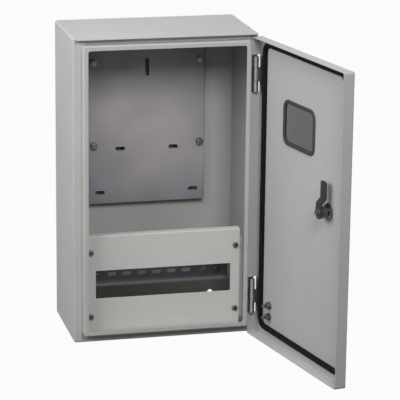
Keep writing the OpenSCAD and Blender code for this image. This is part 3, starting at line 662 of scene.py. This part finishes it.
# %% Stepped grommets
RINGS = 4
RING_RISE = 0.55 * MM
WALL = 1.0 * MM
SHEET = 1.2 * MM
PLAY = 0.1 * MM
FLANGE_W = 4 * MM
FLANGE_T = 2.4 * MM
LIP_W = 2 * MM
LIP_RISE = 3.0 * MM
EDGE = 0.7 * MM
bm = bmesh.new()
for low, high in solids_of("cable_grommets"):
    flange = (high.x - low.x) / 2
    hole = flange - FLANGE_W
    neck = hole - PLAY
    bore = neck - 2 * WALL
    ring_w = bore / (RINGS + 1)
    profile = [(flange - EDGE, 0), (flange, EDGE), (flange, FLANGE_T), (neck, FLANGE_T)]
    sheet_top = FLANGE_T + SHEET + PLAY
    profile += [(neck, sheet_top), (hole + LIP_W, sheet_top), (neck, sheet_top + LIP_RISE)]
    profile += [(bore, sheet_top + LIP_RISE), (bore, WALL)]
    for ring in range(1, RINGS + 1):
        outer = bore - ring * ring_w + WALL
        profile += [(outer, WALL + (ring - 1) * RING_RISE), (outer, WALL + ring * RING_RISE)]
    profile += [(0, WALL + RINGS * RING_RISE), (0, RINGS * RING_RISE)]
    for ring in range(RINGS, 0, -1):
        inner = bore - ring * ring_w
        profile += [(inner, ring * RING_RISE), (inner, (ring - 1) * RING_RISE)]
    middle = (low + high) / 2
    add_part(bm, turned(profile), Matrix.Translation((middle.x, middle.y, low.z)))
make_piece("stepped_grommets", bm, grey_rubber, "cabinet", ["cable_grommets"])

# %% [markdown]
# ## Threads
# A thread is one V that climbs by its pitch on each turn. The spin operator takes a step along
# the axis as well as an angle, so a V drawn once becomes a thread, and two cuts make it the
# right length. Over its last pitch the rod runs out to a blunt point.

# %% Threaded rod
THREAD_STEPS = 24
THREAD_DEPTH = 0.61
THREAD_MERGE = 0.002 * MM
FLANK_SHARE = 0.4
CREST_SHARE = 0.15
POINT_SHARE = 0.82
SPARE_TURNS = 3


def cut_off(bm, point, normal):
    """Takes away what lies beyond a plane and closes the cut. Gives the face that closes it."""
    geom = list(bm.verts) + list(bm.edges) + list(bm.faces)
    cut = bmesh.ops.bisect_plane(bm, geom=geom, plane_co=point, plane_no=normal, clear_outer=True)
    edges = only(bmesh.types.BMEdge, cut["geom_cut"])
    return bmesh.ops.edgeloop_fill(bm, edges=edges)["faces"]


def threaded_rod(diameter, pitch, length):
    """A thread along +Z from the origin, with a pointed end."""
    bm = bmesh.new()
    major = diameter / 2
    minor = major - THREAD_DEPTH * pitch
    flank, crest = FLANK_SHARE * pitch, CREST_SHARE * pitch
    points = [(minor, 0), (major, flank), (major, flank + crest)]
    points += [(minor, 2 * flank + crest), (minor, pitch)]
    edges = chain(bm, [(radius, 0, height - 2 * pitch) for radius, height in points], False)
    turns = math.ceil(length / pitch) + SPARE_TURNS
    bmesh.ops.spin(
        bm,
        geom=edges + list(bm.verts),
        cent=(0, 0, 0),
        axis=(0, 0, 1),
        dvec=(0, 0, pitch / THREAD_STEPS),
        angle=turns * FULL_TURN,
        steps=turns * THREAD_STEPS,
    )
    bmesh.ops.remove_doubles(bm, verts=bm.verts, dist=THREAD_MERGE)
    cut_off(bm, (0, 0, 0), (0, 0, -1))
    tip = cut_off(bm, (0, 0, length - pitch), (0, 0, 1))
    made = bmesh.ops.extrude_face_region(bm, geom=tip)["geom"]
    bmesh.ops.delete(bm, geom=tip, context="FACES_ONLY")
    point = only(bmesh.types.BMVert, made)
    bmesh.ops.scale(bm, verts=point, vec=(POINT_SHARE, POINT_SHARE, 1))
    bmesh.ops.translate(bm, verts=point, vec=(0, 0, pitch))
    return bm


print("a thread has", THREAD_STEPS, "steps in a turn")

# %% [markdown]
# ## Nuts and washers
# A nut is turned first, with a cone at each end, and then cut by six planes: that leaves the
# curved edges that the chamfer has on a real nut. The turned blank is a hair wider than the
# hexagon's corners, so that each plane cuts it. A pressed washer has its outer edges broken.

# %% Hexagon and washer
HEXAGON_STEPS = 60
HALF_SIDE = math.pi / 6
CHAMFER_ANGLE = math.pi / 6
CORNER_SPARE = 1.002
FACE_SHARE = 0.95
EDGE_PARTS = 5


def hexagon(across, height, bore):
    """A chamfered hexagon on the origin along +Z, with a bore, or without one if it is 0."""
    corner = across / 2 / math.cos(HALF_SIDE) * CORNER_SPARE
    face = FACE_SHARE * across / 2
    chamfer = (corner - face) * math.tan(CHAMFER_ANGLE)
    profile = [(bore, 0), (face, 0), (corner, chamfer)]
    profile += [(corner, height - chamfer), (face, height), (bore, height)]
    bm = turned(profile, closed=bore > 0, steps=HEXAGON_STEPS)
    for side in range(6):
        angle = side * math.pi / 3
        normal = Vector((math.cos(angle), math.sin(angle), 0))
        cut_off(bm, normal * across / 2, normal)
    return bm


def washer(diameter, thickness, bore):
    """A pressed washer on the origin with broken edges."""
    edge = thickness / EDGE_PARTS
    outer = diameter / 2
    profile = [(bore, 0), (outer - edge, 0), (outer, edge), (outer, thickness - edge)]
    profile += [(outer - edge, thickness), (bore, thickness)]
    return turned(profile)


print("a nut is chamfered at", round(math.degrees(CHAMFER_ANGLE)), "degrees")

# %% [markdown]
# ## The meter plate's studs
# Four hexagon spacers stand on the back. Their studs pass the meter plate, and a nut on a
# washer holds it. Each gets its thread, washer and nut at the box of its CAD solid, and the nuts
# stand at odd angles, as a spanner leaves them.

# %% Spacers and nuts of the meter plate
M6 = 6 * MM
M6_PITCH = 1.0 * MM
NUT_ACROSS = 10 * MM
NUT_H = 5 * MM
WASHER_D = 12.5 * MM
WASHER_T = 1.2 * MM
PLATE_T = 1.5 * MM
FIT = 0.05 * MM
TO_FRONT = Matrix.Rotation(math.pi / 2, 4, "X")
NUT_TURNS = (9, 31, 47, 20)


def nut_on_washer(bm, place, turn):
    """Adds a washer and a nut along +Z of a place, turned as the spanner left it."""
    add_part(bm, washer(WASHER_D, WASHER_T, M6 / 2 + FIT), place)
    on_washer = Matrix.Translation((0, 0, WASHER_T)) @ Matrix.Rotation(math.radians(turn), 4, "Z")
    add_part(bm, hexagon(NUT_ACROSS, NUT_H, M6 / 2 + FIT), place @ on_washer)


spacers, nuts = bmesh.new(), bmesh.new()
nut_boxes = solids_of("plate_nuts")
for (low, high), turn in zip(solids_of("plate_standoffs"), NUT_TURNS):
    middle = (low + high) / 2
    foot = Matrix.Translation((middle.x, high.y, middle.z)) @ TO_FRONT
    _, nut_high = min(nut_boxes, key=lambda box: (sum(box, Vector()) / 2 - middle).length)
    spacer_h = high.y - nut_high.y - PLATE_T
    add_part(spacers, hexagon(high.z - low.z, spacer_h, 0), foot)
    on_spacer = Matrix.Translation((0, 0, spacer_h))
    add_part(spacers, threaded_rod(M6, M6_PITCH, high.y - low.y - spacer_h), foot @ on_spacer)
    seat = Matrix.Translation((middle.x, nut_high.y, middle.z)) @ TO_FRONT
    nut_on_washer(nuts, seat, turn)
make_piece("plate_spacers", spacers, dull_zinc, "cabinet", ["plate_standoffs"])
make_piece("plate_stud_nuts", nuts, dull_zinc, "cabinet", ["plate_nuts"])

# %% [markdown]
# ## Earth studs
# Two studs at the door's lower hinge and one on the right wall take the earth wires. They are
# the same thread, washer and nut, and point inwards from the sheet that carries them.

# %% Earth studs on door and wall
TO_BACK = Matrix.Rotation(-math.pi / 2, 4, "X")
TO_LEFT = Matrix.Rotation(-math.pi / 2, 4, "Y")

studs, nuts = bmesh.new(), bmesh.new()
for (low, high), turn in zip(solids_of("door_earth_studs", to_closed), NUT_TURNS):
    middle = (low + high) / 2
    seat = to_open @ Matrix.Translation((middle.x, low.y, middle.z)) @ TO_BACK
    add_part(studs, threaded_rod(M6, M6_PITCH, high.y - low.y), seat)
    nut_on_washer(nuts, seat, turn)
make_piece("door_earth_threads", studs, dull_zinc, "door", ["door_earth_studs"])
make_piece("door_earth_hexagons", nuts, dull_zinc, "door", ["door_earth_nuts"])

studs, nuts = bmesh.new(), bmesh.new()
((low, high),) = solids_of("body_earth_stud")
middle = (low + high) / 2
seat = Matrix.Translation((high.x, middle.y, middle.z)) @ TO_LEFT
add_part(studs, threaded_rod(M6, M6_PITCH, high.x - low.x), seat)
nut_on_washer(nuts, seat, NUT_TURNS[0])
make_piece("body_earth_thread", studs, dull_zinc, "cabinet", ["body_earth_stud"])
make_piece("body_earth_hexagon", nuts, dull_zinc, "cabinet", ["body_earth_nut"])

# %% [markdown]
# ## Cross-recessed screws
# The cover and the rail are held by pan-head screws. The head is turned up to a ring round the
# recess, a bridge joins that ring to the cross, and the cross is extruded down and narrowed,
# as the punch that formed it was. The shares below are parts of the head's width or height.

# %% The head of a screw
HEAD_STEPS = 32
FLAT_SHARE = 0.35
RECESS_ARM = 0.29
RECESS_HALF = 0.07
RECESS_RIM = 0.06
RECESS_DEEP = 0.55
RECESS_FLOOR = 0.7
SCREW_D = 5 * MM


def pan_head(diameter, height):
    """The head of a screw on the origin, open below at the shank."""
    radius = diameter / 2
    ring = (RECESS_ARM + RECESS_RIM) * diameter
    flat_h = FLAT_SHARE * height
    profile = [(SCREW_D / 2, 0), (radius, 0), (radius, flat_h)]
    for step in range(1, ARC_STEPS + 1):
        angle = math.pi / 2 * step / ARC_STEPS
        out = ring + (radius - ring) * math.cos(angle)
        profile.append((out, flat_h + (height - flat_h) * math.sin(angle)))
    bm = turned(profile, closed=False, steps=HEAD_STEPS)
    at_top = [edge for edge in bm.edges if all(vert.co.z > height - MERGE for vert in edge.verts)]
    arm, half_arm = RECESS_ARM * diameter, RECESS_HALF * diameter
    outline = []
    for quarter_turn in range(4):
        turn = Matrix.Rotation(quarter_turn * math.pi / 2, 4, "Z")
        for x, y in ((arm, -half_arm), (arm, half_arm), (half_arm, half_arm)):
            outline.append(turn @ Vector((x, y, height)))
    cross = chain(bm, outline, True)
    bmesh.ops.bridge_loops(bm, edges=at_top + cross)
    deep, floor_edges = extruded(bm, cross)
    bmesh.ops.translate(bm, verts=deep, vec=(0, 0, -RECESS_DEEP * height))
    bmesh.ops.scale(bm, verts=deep, vec=(RECESS_FLOOR, RECESS_FLOOR, 1))
    bmesh.ops.edgeloop_fill(bm, edges=floor_edges)
    return bm


print("the recess reaches over", round(2 * RECESS_ARM, 2), "of the head")

# %% [markdown]
# ## The screws of cover and rail
# Each screw is a head with a thread that points the other way. The heads stand at odd angles,
# as a driver leaves them.

# %% Pan-head screws
SCREW_PITCH = 0.8 * MM
SCREW_TURNS = (12, 58, 35, 77)
HEAD_D = 9.5 * MM
HEAD_H = 3.2 * MM
TURNED_ROUND = Matrix.Rotation(math.pi, 4, "X")
for node in ("cover_screws", "rail_screws"):
    bm = bmesh.new()
    for (low, high), turn in zip(solids_of(node), SCREW_TURNS):
        middle = (low + high) / 2
        seat = Matrix.Translation((middle.x, low.y + HEAD_H, middle.z)) @ TO_FRONT
        seat = seat @ Matrix.Rotation(math.radians(turn), 4, "Z")
        add_part(bm, pan_head(HEAD_D, HEAD_H), seat)
        shank = threaded_rod(SCREW_D, SCREW_PITCH, high.y - low.y - HEAD_H)
        add_part(bm, shank, seat @ TURNED_ROUND)
    make_piece("pan_" + node, bm, dull_zinc, "cabinet", [node])

# %% [markdown]
# ## The lock's nut and the cam's bolt
# A thin wide nut clamps the lock's barrel to the door, and a hexagon bolt with a washer holds
# the cam on its square. The cam and its bolt turn with the plug, so they ride on that body.

# %% Lock nut and cam bolt
BARREL_R = 9.5 * MM
((low, high),) = solids_of("lock_nut", to_closed)
middle = (low + high) / 2
bm = bmesh.new()
seat = to_open @ Matrix.Translation((middle.x, low.y, middle.z)) @ TO_BACK
add_part(bm, hexagon(high.z - low.z, high.y - low.y, BARREL_R + FIT), seat)
make_piece("barrel_nut", bm, dark_nickel, "door", ["lock_nut"])

BOLT_ACROSS = 8 * MM
((low, high),) = solids_of("cam_screw", to_closed)
middle = (low + high) / 2
bm = bmesh.new()
seat = to_open @ Matrix.Translation((middle.x, high.y - HEAD_H - WASHER_T, middle.z)) @ TO_BACK
add_part(bm, washer(WASHER_D, WASHER_T, SCREW_D / 2), seat)
add_part(bm, hexagon(BOLT_ACROSS, HEAD_H, 0), seat @ Matrix.Translation((0, 0, WASHER_T)))
make_piece("cam_bolt", bm, dull_zinc, "lock_rotor", ["cam_screw"])

# %% [markdown]
# ## Camera
# The photograph was taken from a little to the left and above, with a long lens. The angles,
# the distance and the lens below put the cabinet's corners close to where the photograph has
# them.

# %% The camera at the photograph's place
VIEW_YAW = math.radians(-13.76)
VIEW_PITCH = math.radians(15.38)
VIEW_ROLL = math.radians(0.66)
VIEW_DISTANCE = 3611 * MM
VIEW_TARGET = Vector((76.7, -80, -43.8)) * MM
FOCAL_PIXELS = 2187
FRAME_PIXELS = 400
SENSOR_MM = 36

back = Vector(
    (
        math.sin(VIEW_YAW) * math.cos(VIEW_PITCH),
        -math.cos(VIEW_YAW) * math.cos(VIEW_PITCH),
        math.sin(VIEW_PITCH),
    )
)
level = Vector((math.cos(VIEW_YAW), math.sin(VIEW_YAW), 0))
upright = back.cross(level)
right = level * math.cos(VIEW_ROLL) + upright * math.sin(VIEW_ROLL)
up = upright * math.cos(VIEW_ROLL) - level * math.sin(VIEW_ROLL)
camera_data = bpy.data.cameras.new("camera")
camera_data.sensor_width = SENSOR_MM
camera_data.lens = FOCAL_PIXELS / FRAME_PIXELS * SENSOR_MM
camera = bpy.data.objects.new("camera", camera_data)
turn = Matrix((right, up, back)).transposed()
camera.matrix_world = Matrix.Translation(VIEW_TARGET + back * VIEW_DISTANCE) @ turn.to_4x4()
bpy.context.scene.collection.objects.link(camera)
bpy.context.scene.camera = camera
print("lens in mm:", round(camera_data.lens))

# %% [markdown]
# ## Floor
# A product shot has a white ground. More light would bleach the object, so the floor is a grey
# sheet that takes the shadow, and it glows for the rays that look at it: those of the camera,
# and those that come by way of metal or clear plastic. Light Path tells them apart.

# %% The studio floor
FLOOR_HALF = 6.0
FLOOR_WHITE = 0.965


def looked_at(tree):
    """An output that is 1 for camera, glossy and transmission rays, and 0 for the others."""
    path = add_node(tree, "LightPath")
    seen = path.outputs["Is Camera Ray"]
    for ray in ("Is Glossy Ray", "Is Transmission Ray"):
        either = add_node(tree, "Math", {"operation": "MAXIMUM"}, {0: seen, 1: path.outputs[ray]})
        seen = either.outputs[0]
    return seen


studio_floor = bpy.data.materials.new("pale_studio_floor")
studio_floor.use_nodes = True
tree = studio_floor.node_tree
tree.nodes.clear()
share = add_node(tree, "Math", {"operation": "MULTIPLY"}, {0: looked_at(tree), 1: FLOOR_WHITE})
matt = add_node(tree, "BsdfDiffuse", inputs={"Color": linear("#6A6A6A")})
glow = add_node(tree, "Emission", inputs={"Color": linear("#FFFFFF"), "Strength": 1.0})
both = add_node(
    tree,
    "MixShader",
    inputs={0: share.outputs[0], 1: matt.outputs["BSDF"], 2: glow.outputs["Emission"]},
)
add_node(tree, "OutputMaterial", inputs={"Surface": both.outputs["Shader"]})
bm = bmesh.new()
bmesh.ops.create_grid(bm, x_segments=1, y_segments=1, size=FLOOR_HALF)
bm.transform(Matrix.Translation((0, 0, cad_low.z)))
floor_mesh = bpy.data.meshes.new("studio_floor")
bm.to_mesh(floor_mesh)
bm.free()
floor_mesh.materials.append(studio_floor)
floor = bpy.data.objects.new("studio_floor", floor_mesh)
bpy.context.scene.collection.objects.link(floor)
floor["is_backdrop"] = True
print("the floor lies at", round(cad_low.z / MM, 1), "mm")

# %% [markdown]
# ## Background
# The world is treated in the same way as the floor: it shines weakly on the object, and looks
# white.

# %% The world
AMBIENT = 0.12
world = bpy.data.worlds.new("studio")
bpy.context.scene.world = world
world.use_nodes = True
tree = world.node_tree
tree.nodes.clear()
strength = add_node(
    tree, "MapRange", inputs={"Value": looked_at(tree), "To Min": AMBIENT, "To Max": 1.0}
)
sky = add_node(
    tree, "Background", inputs={"Color": linear("#FFFFFF"), "Strength": strength.outputs["Result"]}
)
add_node(tree, "OutputWorld", inputs={"Surface": sky.outputs["Background"]})
print("the world lights the object with", AMBIENT)

# %% [markdown]
# ## Lamps
# Soft lamps are large for their distance. Two of them stand on the left and give the side wall
# and the door their light, one hangs above the top, and one in front and above reaches into the
# cabinet; the hood keeps the inside of the top dark. A last one stands behind, so that the back
# can be seen in views from there. Places and sizes are in metres.

# %% Softboxes


def softbox(name, place, aim, size, watts):
    """A square area lamp that looks from a place to a point."""
    lamp_data = bpy.data.lights.new(name, "AREA")
    lamp_data.size = size
    lamp_data.energy = watts
    lamp = bpy.data.objects.new(name, lamp_data)
    turn = (aim - place).to_track_quat("-Z", "Y").to_matrix()
    lamp.matrix_world = Matrix.Translation(place) @ turn.to_4x4()
    bpy.context.scene.collection.objects.link(lamp)


middle = (cad_low + cad_high) / 2
softbox("left_softbox", Vector((-1.25, -0.94, 1.08)), middle, size=0.9, watts=12)
softbox("side_softbox", Vector((-0.95, -0.20, 0.55)), middle, size=0.6, watts=4.2)
softbox("top_softbox", Vector((-0.15, -0.15, 1.70)), middle, size=0.9, watts=4.5)
softbox("front_softbox", Vector((0.0, -1.68, 1.08)), middle, size=0.5, watts=15.5)
softbox("back_softbox", Vector((0.60, 1.70, 0.20)), middle, size=0.8, watts=9)
bpy.context.scene.view_settings.view_transform = "Standard"

# %% [markdown]
# ## The finished size
# The box of the finished model is printed at the end, to set beside the CAD model's box printed at the
# start.

# %% Sizes and the end
low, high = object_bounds()
print("visual box in mm:", [round(side / MM, 1) for side in high - low])
